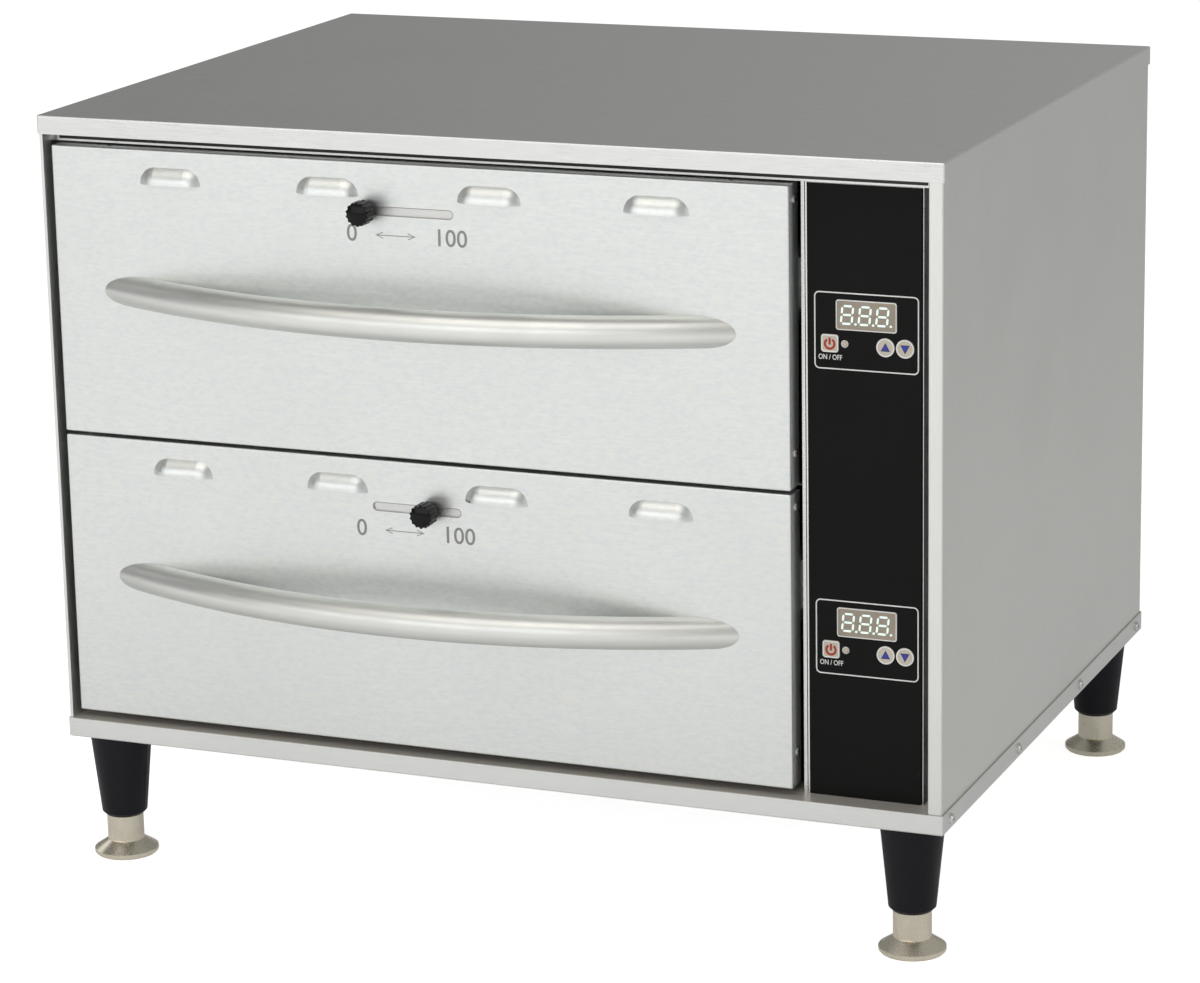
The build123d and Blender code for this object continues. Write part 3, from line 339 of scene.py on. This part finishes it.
def plated(name, colour, roughness, cell=260.0, lines=0.3, tarnish=0.25):
    """Plated or turned metal: fine pitting, and a tarnish that gathers in soft patches."""
    material, tree, shader = blank_finish(name, colour, 1.0, roughness)
    pits = noise(tree, (cell, cell, cell), 4.0)
    patches = noise(tree, (60.0, 60.0, 60.0), 4.0)
    toned = mixed(tree, ranged(tree, patches, 0, 1, 0.4, 0.7), colour, shade(colour, 1 - tarnish))
    tree.links.new(toned, shader.inputs["Base Color"])
    tree.links.new(ranged(tree, pits, roughness - 0.06, roughness + 0.12), shader.inputs["Roughness"])
    bumped(tree, shader, pits, lines, 0.00005)
    return material


def wool(name, colour):
    """Glass wool: tangled fibres over lumpy batts."""
    material, tree, shader = blank_finish(name, colour, 0.0, 0.95)
    fibre = noise(tree, (240.0, 900.0, 900.0), 6.0)
    lump = noise(tree, (35.0, 35.0, 35.0), 3.0)
    toned = mixed(tree, ranged(tree, fibre, 0, 1), shade(colour, 0.6), shade(colour, 1.2))
    tree.links.new(toned, shader.inputs["Base Color"])
    bumped(tree, shader, added(tree, fibre, lump, 2.0), 0.8, 0.002)
    return material


def lit(name, colour, strength):
    """A lit segment or lamp: its own light over a slightly mottled lens."""
    material, tree, shader = blank_finish(name, colour, 0.0, 0.4)
    cell = noise(tree, (1500.0, 1500.0, 1500.0), 2.0)
    toned = mixed(tree, ranged(tree, cell, 0, 1), shade(colour, 0.94), colour)
    tree.links.new(toned, shader.inputs["Base Color"])
    tree.links.new(toned, shader.inputs["Emission Color"])
    shader.inputs["Emission Strength"].default_value = strength
    return material


tray_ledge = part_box("base_tray")[1].z

finishes = {
    "cover_steel": brushed("cover_sheet", (0.77, 0.78, 0.77), 0, 0.30, streak=0.06, cloud=0.015),
    # The tray's second colour is painted shade on its ledge.
    "tray_steel": tray_sheet("tray_sheet", (0.78, 0.79, 0.78), (0.60, 0.57, 0.53), tray_ledge),
    "side_steel": brushed("side_sheet", (0.78, 0.79, 0.77), 2, 0.36, streak=0.04),
    "front_steel": brushed(
        "front_sheet", (0.785, 0.80, 0.785), 0, 0.36, streak=0.045, cloud=0.01, fleck=(0.71, 0.75, 0.76),
    ),
    "bright_steel": brushed("bright_sheet", (0.80, 0.80, 0.79), 0, 0.26, streak=0.03, lines=0.06),
    "handle_steel": satin_tube("handle_tube", (0.77, 0.78, 0.76), 0.40),
    "pan_steel": brushed("pan_sheet", (0.74, 0.74, 0.73), 0, 0.26, streak=0.04, lines=0.08),
    "frame_steel": brushed("frame_sheet", (0.70, 0.70, 0.69), 0, 0.38),
    "liner_steel": brushed("liner_sheet", (0.58, 0.59, 0.59), 0, 0.42, cloud=0.06),
    "slide_zinc": plated("slide_zinc", (0.66, 0.68, 0.70), 0.30),
    "fastener_zinc": plated("screw_zinc", (0.74, 0.74, 0.72), 0.22, tarnish=0.15),
    "knob_black": moulded("knob_black", (0.003, 0.003, 0.004), 0.14, lines=0.05, gloss=0.2),
    "leg_black": moulded("sleeve_black", (0.006, 0.006, 0.010), 0.40, gloss=0.22),
    "foot_nickel": plated("foot_nickel", (0.80, 0.74, 0.62), 0.24, cell=1400.0, lines=0.12, tarnish=0.08),
    "panel_black": moulded("panel_black", (0.004, 0.004, 0.004), 0.34, lines=0.04, patch=0.4, gloss=0.12),
    "display_window": moulded("display_window", (0.36, 0.31, 0.25), 0.25, lines=0.03),
    "lamp_lens": moulded("lamp_lens", (0.62, 0.55, 0.46), 0.2, lines=0.03),
    "key_cap": moulded("key_cap", (0.62, 0.57, 0.49), 0.4, lines=0.05),
    "board_green": moulded("board_green", (0.02, 0.13, 0.05), 0.35),
    "element_sheath": plated("element_sheath", (0.16, 0.13, 0.11), 0.5, tarnish=0.5),
    "sensor_steel": plated("sensor_steel", (0.66, 0.66, 0.64), 0.3),
    "thermostat_body": moulded("thermostat_body", (0.05, 0.045, 0.04), 0.55),
    "insulation_wool": wool("insulation_wool", (0.72, 0.64, 0.36)),
    "gland_black": moulded("gland_black", (0.02, 0.02, 0.02), 0.5),
    "terminal_moulding": moulded("terminal_moulding", (0.62, 0.57, 0.47), 0.5),
}
slot_of = {part["node"]: part["material_slot"] for part in frame["record"]["subparts"]}
for name, node in nodes.items():
    finish = finishes[slot_of[name]]
    for place in node.material_slots:
        place.material = finish

print_white = moulded("print_white", (0.90, 0.91, 0.90), 0.45, lines=0.03)
print_red = moulded("print_red", (0.42, 0.028, 0.008), 0.4, lines=0.03)
print_blue = moulded("print_blue", (0.035, 0.05, 0.40), 0.4, lines=0.03)
print_dark = moulded("print_dark", (0.02, 0.02, 0.03), 0.4, lines=0.03)
key_rim = moulded("key_rim", (0.90, 0.90, 0.88), 0.4, lines=0.03)
digit_light = lit("digit_light", (0.80, 0.95, 0.91), 0.5)
# Painted shade: a darker steel for lines that stand for the shade in pressed grooves, along slot edges and
# in screw recesses.
line_shade = brushed("painted_line_shade", (0.30, 0.30, 0.29), 0, 0.5)

# ---- Control panel's print, keys and digits -------------------------------------------------------

print_proud = 0.1 * mm
keypad_size = (80.8 * mm, 58 * mm)
keypad_corner = 3.5 * mm
keypad_drop = 12.5 * mm
keypad_line = 1.0 * mm
keypad_proud = 0.12 * mm
display_rim_size = (46.6 * mm, 22.1 * mm)
display_rim_corner = 1.6 * mm
display_rim_proud = 0.62 * mm
digit_size = (8.4 * mm, 13.4 * mm)
digit_shifts = (-14.9 * mm, -1.1 * mm, 12.6 * mm)
digit_rise = 0.2 * mm
digit_slant = 0.10
words_size = 5.6 * mm
words_shift = (-28.3 * mm, -20.4 * mm)
words_wide = 0.80
words_bold = 0.05 * mm
lamp_radius = 2.4 * mm
lamp_line = 0.9 * mm
lamp_proud = 0.15 * mm
key_line = 1.1 * mm
power_key_size = 12.4 * mm
power_key_corner = 1.7 * mm
power_ring_radius = 3.7 * mm
power_ring_drop = 0.4 * mm
power_line = 1.8 * mm
power_bar_size = (1.7 * mm, 5.4 * mm)
power_bar_rise = 1.7 * mm
power_bar_corner = 0.3 * mm
arrow_key_radius = 6.5 * mm
triangle_points = np.array([(-3.3, -2.7), (3.3, -2.7), (0, 3.4)]) * mm
triangle_fill = 0.86
triangle_proud = 0.12 * mm
triangle_edge = 0.92
triangle_line = 0.75 * mm


def middle_of(node):
    """X and Z of a node's middle, and the Y of its front."""
    low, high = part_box(node)
    return ((low.x + high.x) / 2, (low.z + high.z) / 2), low.y


def segment_outlines(size, slant):
    """A slanted seven-segment eight: three pointed bars across, four pointed bars upright, and a
    round dot. Each point moves across by the slant times its height."""
    width, height = size
    bar = 0.19 * width
    gap = 0.04 * width
    tip = bar / 2
    outlines = []
    half = width / 2 - gap - bar / 4
    for y in (-height / 2, 0, height / 2):
        outlines.append(
            [(-half, y), (-half + tip, y + tip), (half - tip, y + tip), (half, y),
             (half - tip, y - tip), (-half + tip, y - tip)]
        )
    half = height / 4 - gap - bar / 4
    for x in (-width / 2, width / 2):
        for y in (-height / 4, height / 4):
            outlines.append(
                [(x, y - half), (x + tip, y - half + tip), (x + tip, y + half - tip), (x, y + half),
                 (x - tip, y + half - tip), (x - tip, y - half + tip)]
            )
    outlines.append(ring_outline(0.6 * bar, 12) + (width / 2 + 1.9 * bar, -height / 2))
    return [np.array(o) + np.outer(np.array(o)[:, 1], (slant, 0)) for o in outlines]


def panel_print(level):
    """The keypad's outline, the display's rim and lit digits, the words under the power key, and
    the ring round the indicator lamp."""
    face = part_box("control_face")[0].y
    display, display_front = middle_of(f"{level}_display")
    keypad = (display[0], display[1] - keypad_drop)
    bead(
        f"{level}_keypad_outline", rounded_outline(*keypad_size, keypad_corner), keypad_line,
        keypad_proud, keypad, face, print_white, "cabinet",
    )
    bead(
        f"{level}_display_outline", rounded_outline(*display_rim_size, display_rim_corner), keypad_line,
        display_rim_proud, display, face, key_rim, "cabinet",
    )
    digits = [
        outline + (shift, digit_rise)
        for shift in digit_shifts
        for outline in segment_outlines(digit_size, digit_slant)
    ]
    slab(
        f"{level}_digits", digits, print_proud, display, display_front,
        digit_light, "cabinet",
    )
    lettering(
        f"{level}_on_off", "ON / OFF", words_size, print_proud,
        (keypad[0] + words_shift[0], keypad[1] + words_shift[1]),
        face, print_white, "cabinet", wide=words_wide, bold=words_bold,
    )
    lamp_low, lamp_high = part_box("indicator_lamps")
    lamp_z = lamp_high.z - lamp_radius if level == "upper" else lamp_low.z + lamp_radius
    bead(
        f"{level}_lamp_outline", ring_outline(lamp_radius, 28), lamp_line, lamp_proud,
        ((lamp_low.x + lamp_high.x) / 2, lamp_z), face, print_white, "cabinet",
    )


def power_key_print(level):
    """A pale rim, and a broken ring with a bar in its gap."""
    middle, front = middle_of(f"{level}_power_key")
    body = f"{level}_power_button"
    bead(
        f"{level}_power_rim", rounded_outline(power_key_size, power_key_size, power_key_corner), key_line,
        print_proud, middle, front, key_rim, body,
    )
    turn = np.radians(np.linspace(122, 418, 40))
    arc = power_ring_radius * np.stack([np.cos(turn), np.sin(turn)], axis=1) - (0, power_ring_drop)
    bead(
        f"{level}_power_ring", arc, power_line, print_proud, middle, front, print_red, body,
        closed=False,
    )
    bar = rounded_outline(*power_bar_size, power_bar_corner, 3) + (0, power_bar_rise)
    slab(f"{level}_power_bar", [bar], print_proud, middle, front, print_red, body)


def arrow_key_print(level, key, upwards):
    """A pale rim, and a triangle with a dark edge."""
    middle, front = middle_of(f"{level}_{key}_key")
    body = f"{level}_{key}_button"
    triangle = triangle_points * (1, upwards)
    bead(
        f"{level}_{key}_rim", ring_outline(arrow_key_radius, 48), key_line, print_proud,
        middle, front, key_rim, body,
    )
    slab(
        f"{level}_{key}_triangle", [triangle_fill * triangle], triangle_proud, middle, front,
        print_blue, body,
    )
    bead(
        f"{level}_{key}_triangle_edge", triangle_edge * triangle, triangle_line, print_proud,
        middle, front, print_dark, body,
    )


for level in levels:
    panel_print(level)
    power_key_print(level)
    arrow_key_print(level, "up", 1)
    arrow_key_print(level, "down", -1)

# ---- Vent sliders' scale on the drawer fronts -----------------------------------------------------

cover_low, cover_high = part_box("top_cover")
drawer_recess = 6.0 * mm
slot_size = (75.5 * mm, 6.9 * mm)
slot_corner = 3.4 * mm
slot_drop = 37.5 * mm
slot_line = 0.55 * mm
slot_proud = 0.06 * mm
scale_drop = 56.3 * mm
scale_proud = 0.12 * mm
scale_words = {"0": -48.0 * mm, "100": 35.5 * mm}
scale_letter = 19 * mm
scale_bold = 0.12 * mm
scale_line = 0.7 * mm
arrow_ends = (-26 * mm, 4 * mm)
arrow_tip = 1.4 * mm
arrow_head = (5.9 * mm, 2.3 * mm)


def vent_scale(level):
    """The slot's thin edge, a number at each end of the scale, and a two-headed arrow between, as beads in
    the darker steel that paints the shade of the pressed lines and the slot's edge.
    """
    low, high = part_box(f"{level}_drawer_front")
    middle = (low.x + high.x) / 2
    sheet = cover_low.y + drawer_recess
    body = f"{level}_drawer"
    bead(
        f"{level}_slot_edge", rounded_outline(*slot_size, slot_corner), slot_line, slot_proud,
        (middle, high.z - slot_drop), sheet, line_shade, body,
    )
    for words, shift in scale_words.items():
        lettering(
            f"{level}_scale_{words}", words, scale_letter, scale_proud,
            (middle + shift, high.z - scale_drop), sheet, line_shade, body, bold=scale_bold,
        )
    paths = {"shaft": [(end, 0) for end in arrow_ends]}
    for part, end, way in (("left_head", arrow_ends[0], -1), ("right_head", arrow_ends[1], 1)):
        tip = end + way * arrow_tip
        wing = tip - way * arrow_head[0]
        paths[part] = [(wing, arrow_head[1]), (tip, 0), (wing, -arrow_head[1])]
    for part, path in paths.items():
        bead(
            f"{level}_scale_{part}", path, scale_line, scale_proud, (middle, high.z - scale_drop), sheet,
            line_shade, body, closed=False,
        )


for level in levels:
    vent_scale(level)

# ---- Painted shadow between the cover's lip and the header rail ----------------------------------

shadow_below = 6.3 * mm
shadow_above = 2.0 * mm
shadow_end = 6.0 * mm
strip_proud = 0.25 * mm


def lip_painted_shadow():
    """A dark strip on the header rail, under the cover's lip: painted shadow where the lip shades the rail.
    """
    rail_low, rail_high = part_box("header_rail")
    strip = rounded_outline(rail_high.x - rail_low.x - 2 * shadow_end, shadow_below + shadow_above, 0.6 * mm, 4)
    middle = ((rail_low.x + rail_high.x) / 2, cover_low.z + (shadow_above - shadow_below) / 2)
    slab(
        # Painted shadow: the strip's black stands for the shade that the lip casts on the rail.
        "lip_painted_shadow", [strip], strip_proud, middle, rail_low.y,
        finishes["gland_black"], "cabinet",
    )


lip_painted_shadow()

# ---- Dark edges beside the control panel ----------------------------------------------------------

bezel_rim = 1.6 * mm
bezel_step = 12.0 * mm
bezel_shade_inset = 0.9 * mm
edge_width = 1.0 * mm
edge_shift = 0.55 * mm
edge_proud = 0.3 * mm


def panel_edges():
    """A black line at the right of the control face, and a dark strip on the bezel's return: painted shade
    in the recess beside the face.
    """
    face_low, face_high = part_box("control_face")
    bezel_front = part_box("control_bezel")[0].y
    rise = face_high.z - face_low.z
    middle = (face_low.z + face_high.z) / 2
    slab(
        "panel_edge", [rounded_outline(edge_width, rise, 0.3 * mm, 3)], edge_proud,
        (face_high.x + edge_shift, middle), bezel_front,
        finishes["panel_black"], "cabinet",
    )
    # Painted shade: a dark strip on the bezel's return, where the recess beside the face lies in shade.
    slab(
        "bezel_side_painted_shade", [rounded_outline(bezel_step - bezel_shade_inset, rise, 0.8 * mm, 3)], strip_proud,
        (bezel_front + bezel_step / 2, middle), face_high.x + bezel_rim,
        finishes["gland_black"], "cabinet", facing="right",
    )


panel_edges()

# ---- Painted shade of the case screws' cross recesses ---------------------------------------------

screws_a_side = 4
screw_inset = 20.0 * mm
cross_length = 4.2 * mm
cross_width = 0.9 * mm
cross_corner = 0.3 * mm
cross_proud = 0.01 * mm


def screw_crosses():
    """Two crossed dark bars on the head of each screw along the base tray's sides: painted shade of the
    cross recess.
    """
    tray_low, tray_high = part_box("base_tray")
    heads_low, heads_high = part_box("case_fasteners")
    screw_z = (tray_low.z + tray_high.z) / 2
    cross = [
        rounded_outline(cross_length, cross_width, cross_corner, 3),
        rounded_outline(cross_width, cross_length, cross_corner, 3),
    ]
    places = np.linspace(cover_low.y + screw_inset, cover_high.y - screw_inset, screws_a_side)
    for i, screw_y in enumerate(places):
        for facing, head in (("right", heads_high.x), ("left", heads_low.x)):
            slab(
                f"screw_cross_{facing}_{i}", cross, cross_proud, (screw_y, screw_z), head,
                line_shade, "cabinet", facing=facing,
            )


screw_crosses()

# ---- Studio ---------------------------------------------------------------------------------------


def make_floor():
    """A pale floor that keeps a soft shadow. The camera sees it white, and the metal sees a painted pool of
    light in it: a glow only for reflections, pale in front of the case and darker under it."""
    count = 2
    span = np.linspace(-14, 14, count)
    x, y = np.meshgrid(span, span, indexing="ij")
    points = np.stack([x, y, np.zeros_like(x)], axis=-1).reshape(-1, 3)
    mesh = bpy.data.meshes.new("floor")
    mesh.from_pydata(points.tolist(), [], [face[::-1] for face in grid_faces(count, count)])
    mesh.update()
    floor = bpy.data.objects.new("floor", mesh)
    bpy.context.collection.objects.link(floor)
    material, tree, shader = blank_finish("floor_pale", (0.82, 0.82, 0.82), 0.0, 0.9)
    speck = noise(tree, (3.0, 3.0, 3.0), 2.0)
    toned = mixed(tree, speck, (0.81, 0.81, 0.81), (0.83, 0.83, 0.83))
    tree.links.new(toned, shader.inputs["Base Color"])
    path = tree.nodes.new("ShaderNodeLightPath")
    seen_glow = 0.77
    near_mirrored, far_mirrored = 0.42, 0.14
    glow = tree.nodes.new("ShaderNodeMath")
    glow.operation = "MULTIPLY_ADD"
    glow.inputs[1].default_value = seen_glow
    tree.links.new(path.outputs["Is Camera Ray"], glow.inputs[0])
    place = tree.nodes.new("ShaderNodeTexCoord")
    depth = tree.nodes.new("ShaderNodeSeparateXYZ")
    tree.links.new(place.outputs["Object"], depth.inputs["Vector"])
    # Painted light: a glow on the floor that only reflections see, strongest in front of the case, standing
    # in for a lit pool there.
    painted_pool_glow = ranged(tree, depth.outputs["Y"], near_mirrored, far_mirrored, -0.85, -0.35)
    mirror = tree.nodes.new("ShaderNodeMath")
    mirror.operation = "MULTIPLY"
    tree.links.new(path.outputs["Is Glossy Ray"], mirror.inputs[0])
    tree.links.new(painted_pool_glow, mirror.inputs[1])
    tree.links.new(mirror.outputs[0], glow.inputs[2])
    shader.inputs["Emission Color"].default_value = (1, 1, 1, 1)
    tree.links.new(glow.outputs[0], shader.inputs["Emission Strength"])
    mesh.materials.append(material)


def make_sky(left, right, front, seen):
    """A grey surround, darker to the left, that brightens a little low in front. The camera sees
    it as white."""
    world = bpy.data.worlds.new("studio")
    bpy.context.scene.world = world
    world.use_nodes = True
    tree = world.node_tree
    back = tree.nodes["Background"]
    place = tree.nodes.new("ShaderNodeTexCoord")
    look = tree.nodes.new("ShaderNodeSeparateXYZ")
    tree.links.new(place.outputs["Generated"], look.inputs["Vector"])
    low = ranged(tree, look.outputs["Z"], 1.0, 0.0, 0.0, 0.6)
    near = ranged(tree, look.outputs["Y"], front, 0.0, -0.7, 0.2)
    share = tree.nodes.new("ShaderNodeMath")
    share.operation = "MULTIPLY"
    tree.links.new(low, share.inputs[0])
    tree.links.new(near, share.inputs[1])
    path = tree.nodes.new("ShaderNodeLightPath")
    tint = mixed(tree, path.outputs["Is Camera Ray"], (1.0, 1.0, 0.97), (1.0, 1.0, 1.0))
    tree.links.new(tint, back.inputs["Color"])
    across = ranged(tree, look.outputs["X"], left, right, -0.6, -0.15)
    surround = added(tree, across, share.outputs[0], 1.0)
    strength = tree.nodes.new("ShaderNodeMapRange")
    tree.links.new(path.outputs["Is Camera Ray"], strength.inputs["Value"])
    tree.links.new(surround, strength.inputs["To Min"])
    strength.inputs["To Max"].default_value = seen
    tree.links.new(strength.outputs["Result"], back.inputs["Strength"])


def make_lamp(name, place, aim, size, power, colour=(1.0, 1.0, 1.0)):
    """A soft rectangular lamp at a place, turned to what it lights."""
    light = bpy.data.lights.new(name, "AREA")
    light.shape = "RECTANGLE"
    light.size, light.size_y = size
    light.energy = power
    light.color = colour
    lamp = bpy.data.objects.new(name, light)
    bpy.context.collection.objects.link(lamp)
    look = (Vector(aim) - Vector(place)).to_track_quat("-Z", "Y")
    lamp.matrix_world = Matrix.Translation(place) @ look.to_matrix().to_4x4()


def make_camera():
    """The photograph's viewpoint, fitted to the case's edges: 22.5 degrees to the right and 14.8
    above, some 4.3 case widths from the foot of the front."""
    azimuth, height, roll = radians(22.49), radians(14.81), radians(-1.10)
    back = Vector((sin(azimuth) * cos(height), -cos(azimuth) * cos(height), sin(height)))
    level_right = (-back).cross(Vector((0, 0, 1))).normalized()
    level_up = level_right.cross(-back)
    right = cos(roll) * level_right + sin(roll) * level_up
    up = -sin(roll) * level_right + cos(roll) * level_up
    foot_of_front = Vector((0, cover_low.y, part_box("base_tray")[0].z))
    case_width = cover_high.x - cover_low.x
    place = foot_of_front + case_width * (4.327 * back + 0.1181 * right + 0.3074 * up)
    focal_pixels = 4120
    picture_pixels = 1200
    camera = bpy.data.cameras.new("camera")
    camera.sensor_width = 36
    camera.lens = camera.sensor_width * focal_pixels / picture_pixels
    camera.clip_end = 100
    view = bpy.data.objects.new("camera", camera)
    bpy.context.collection.objects.link(view)
    turn = Matrix((right, up, back)).transposed().to_4x4()
    view.matrix_world = Matrix.Translation(place) @ turn
    bpy.context.scene.camera = view


make_floor()
make_sky(0.18, 0.38, 0.06, 1.0)
make_lamp("front_lamp", (-0.9, -3.2, 1.15), (0, -0.2, 0.35), (4.0, 1.4), 23)
make_lamp("top_lamp", (-0.3, -1.55, 2.35), (0, -0.3, 0.4), (2.4, 1.5), 15, (1.0, 0.96, 0.90))
make_lamp("right_lamp", (3.4, -0.6, 1.4), (0.3, 0, 0.35), (2.0, 2.0), 9)
make_lamp("left_lamp", (-3.4, 0.4, 1.4), (-0.3, 0, 0.35), (2.0, 2.0), 12)
make_camera()
bpy.context.scene.view_settings.view_transform = "Standard"
